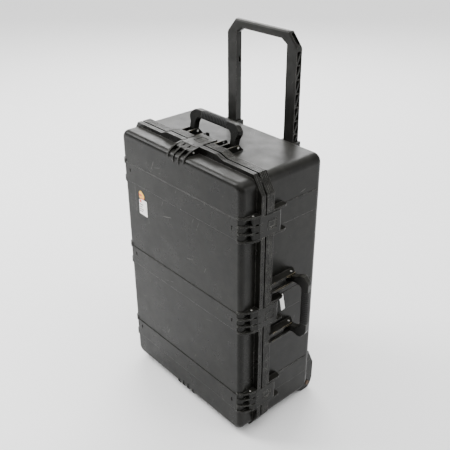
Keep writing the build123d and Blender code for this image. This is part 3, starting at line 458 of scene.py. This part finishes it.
def sleeve_scale(t, start, end):
    """The size of a grip's section at one place along it, as a fraction of the full section."""
    from_end = min(t - start, end - t)
    if from_end < ROUNDED_END:
        return 1.0 - END_DEPTH * (1.0 - from_end / ROUNDED_END) ** 2
    if from_end > PLAIN_END:
        phase = 2 * math.pi * (t - start - PLAIN_END) / RIB_PITCH
        return 1.0 - RIB_DEPTH * (0.5 + 0.5 * math.cos(phase)) ** 2
    return 1.0


def ribbed_grip(node, body, along, name):
    """A soft-cornered, finely ribbed sleeve over a CAD grip's place, with two smooth ends."""
    source = NODES[node].data
    points = [v.co.copy() for v in source.vertices]
    centre = sum(points, Vector()) / len(points)
    along = Vector(along)
    spread = [p - centre - along * (p - centre).dot(along) for p in points]
    deep = deeper_side(spread, along)
    thin = along.cross(deep)
    deep_low, deep_high = span(spread, deep)
    thin_low, thin_high = span(spread, thin)
    middle_deep, middle_thin = (deep_high + deep_low) / 2, (thin_high + thin_low) / 2
    half_deep, half_thin = deep_high - middle_deep, thin_high - middle_thin
    start, end = span([p - centre for p in points], along)
    centre = centre + deep * middle_deep + thin * middle_thin
    mesh = bmesh.new()
    rows = []
    for i in range(RINGS + 1):
        t = start + (end - start) * i / RINGS
        shrink = sleeve_scale(t, start, end)
        row = []
        for k in range(SIDES):
            a = 2 * math.pi * k / SIDES
            c, s = math.cos(a), math.sin(a)
            u = math.copysign(abs(c) ** SQUARENESS, c) * half_deep * shrink
            v = math.copysign(abs(s) ** SQUARENESS, s) * half_thin * shrink
            row.append(mesh.verts.new(centre + along * t + deep * u + thin * v))
        rows.append(row)
    for a, b in zip(rows, rows[1:]):
        for k in range(SIDES):
            mesh.faces.new((a[k], a[(k + 1) % SIDES], b[(k + 1) % SIDES], b[k]))
    mesh.faces.new(rows[0])
    mesh.faces.new(rows[-1])
    bmesh.ops.recalc_face_normals(mesh, faces=mesh.faces)
    data = bpy.data.meshes.new(name)
    mesh.to_mesh(data)
    mesh.free()
    for polygon in data.polygons:
        polygon.use_smooth = True
    grip = bpy.data.objects.new(name, data)
    bpy.context.scene.collection.objects.link(grip)
    data.materials.append(grip_rubber)
    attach(grip, body)
    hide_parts(node)


ribbed_grip("top_handle_grip", "top_handle", (1, 0, 0), "top_grip_sleeve")
ribbed_grip("side_handle_grip", "side_handle", (0, 0, 1), "side_grip_sleeve")


# ---------------------------------------------------------------- printed label on the lid
CURL, CURL_SCALE = 0.00012, 90  # metres that the film lifts unevenly, and how closely


def film(name, outline, look, lift):
    """A thin film on the lid's face: its outline in fractions of the label's width and height."""
    mesh = bmesh.new()
    depth = label_high[1]
    width, height = label_high[0] - label_low[0], label_high[2] - label_low[2]
    front, rear = [], []
    for x, z in outline:
        at = Vector((label_low[0] + x * width, 0, label_low[2] + z * height))
        curl = CURL * noise.noise(at * CURL_SCALE)
        front.append(mesh.verts.new((at.x, depth - lift + curl, at.z)))
        rear.append(mesh.verts.new((at.x, depth, at.z)))
    mesh.faces.new(front)
    mesh.faces.new(rear[::-1])
    for i in range(len(front)):
        k = (i + 1) % len(front)
        mesh.faces.new((front[i], rear[i], rear[k], front[k]))
    bmesh.ops.recalc_face_normals(mesh, faces=mesh.faces)
    data = bpy.data.meshes.new(name)
    mesh.to_mesh(data)
    mesh.free()
    data.materials.append(look)
    piece = bpy.data.objects.new(name, data)
    bpy.context.scene.collection.objects.link(piece)
    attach(piece, "lid")
    return piece


def soft_outline(corners, radius, steps=5):
    """A polygon with its corners rounded, as points."""
    points = []
    count = len(corners)
    for i, corner in enumerate(corners):
        here = Vector(corner)
        before, after = Vector(corners[i - 1]), Vector(corners[(i + 1) % count])
        start = here + (before - here).normalized() * radius
        end = here + (after - here).normalized() * radius
        for k in range(steps + 1):
            t = k / steps
            points.append(start * (1 - t) ** 2 + here * 2 * t * (1 - t) + end * t * t)
    return points


# outlines in fractions of the label's width and height
PANEL_OUTLINE = [(0.02, 0.02), (0.97, 0.0), (0.98, 0.64), (0.40, 0.64), (0.04, 0.60)]
PATCH_OUTLINE = [(0.08, 0.68), (0.40, 0.62), (0.66, 0.66), (0.72, 0.84), (0.30, 0.99), (0.06, 0.9)]
panel = film("label_panel", soft_outline(PANEL_OUTLINE, radius=0.03), panel_film, lift=0.0004)
film("label_patch", soft_outline(PATCH_OUTLINE, radius=0.08), patch_film, lift=0.0003)
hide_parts("lid_label")

# ---------------------------------------------------------------- floor, light and camera
FLOOR_REACH = 40.0  # metres from the middle to each side
FLOOR_GAP = 0.0005  # metres between the floor and the lowest point
FLOOR_DARK, FLOOR_LIGHT = (0.90, 0.90, 0.90, 1), (0.93, 0.93, 0.925, 1)
floor_mesh = bpy.data.meshes.new("floor")
corners = [(-1, -1), (1, -1), (1, 1), (-1, 1)]
floor_corners = [(x * FLOOR_REACH, y * FLOOR_REACH, 0) for x, y in corners]
floor_mesh.from_pydata(floor_corners, [], [(0, 1, 2, 3)])
floor = bpy.data.objects.new("floor", floor_mesh)
floor.location.z = CAD_BOUNDS[0][2] - FLOOR_GAP
bpy.context.scene.collection.objects.link(floor)
floor_look, floor_tree, floor_shader, floor_where = new_material("floor_look", Roughness=0.75)
shade = cloud(floor_tree, floor_where, 1.5, detail=2.0)
floor_colour = blend_colour(floor_tree, shade, FLOOR_DARK, FLOOR_LIGHT)
put(floor_tree, floor_shader.inputs["Base Color"], floor_colour)
floor_mesh.materials.append(floor_look)


def lamp(name, place, target, width, height, power):
    """A soft rectangular light that faces a target; sizes in metres, power in watts."""
    data = bpy.data.lights.new(name, "AREA")
    data.shape, data.size, data.size_y, data.energy = "RECTANGLE", width, height, power
    obj = bpy.data.objects.new(name, data)
    obj.location = place
    obj.rotation_mode = "QUATERNION"
    obj.rotation_quaternion = (Vector(target) - Vector(place)).to_track_quat("-Z", "Y")
    bpy.context.scene.collection.objects.link(obj)


lamp("key", (-2.5, 2.4, 2.7), (0, 0.1, 0.7), width=3.0, height=2.0, power=160)
lamp("left", (-2.4, -1.7, 2.9), (0, 0, 0.6), width=1.2, height=2.4, power=150)
lamp("right", (3.2, 1.6, 1.6), (0, 0.1, 0.4), width=1.6, height=2.0, power=40)

# straight down; its width is an angle in radians, wide enough for very soft shadows
SUN_STRENGTH, SUN_WIDTH = 3.6, 1.4
sun_data = bpy.data.lights.new("overhead", "SUN")
sun_data.energy, sun_data.angle = SUN_STRENGTH, SUN_WIDTH
sun = bpy.data.objects.new("overhead", sun_data)
bpy.context.scene.collection.objects.link(sun)

WORLD_STRENGTH = 0.5
world = bpy.data.worlds.new("studio")
world.use_nodes = True
background = world.node_tree.nodes["Background"]
background.inputs["Color"].default_value = (1, 1, 1, 1)
background.inputs["Strength"].default_value = WORLD_STRENGTH
bpy.context.scene.world = world

# the camera that was fitted to the straight edges in the photo
LENS, SENSOR_WIDTH = 54.68, 36.0
CAMERA_PLACE = (1.25494, -0.99915, 1.44374)
camera_data = bpy.data.cameras.new("camera")
camera_data.lens, camera_data.sensor_width = LENS, SENSOR_WIDTH
camera = bpy.data.objects.new("camera", camera_data)
right = Vector((0.66035462, 0.75093705, -0.00503215))
up = Vector((-0.36158315, 0.32382568, 0.87429661))
back = Vector((0.65817126, -0.57552626, 0.48536596))
placed = Matrix((right, up, back)).transposed().to_4x4()
placed.translation = CAMERA_PLACE
camera.matrix_world = placed
bpy.context.scene.collection.objects.link(camera)
bpy.context.scene.camera = camera
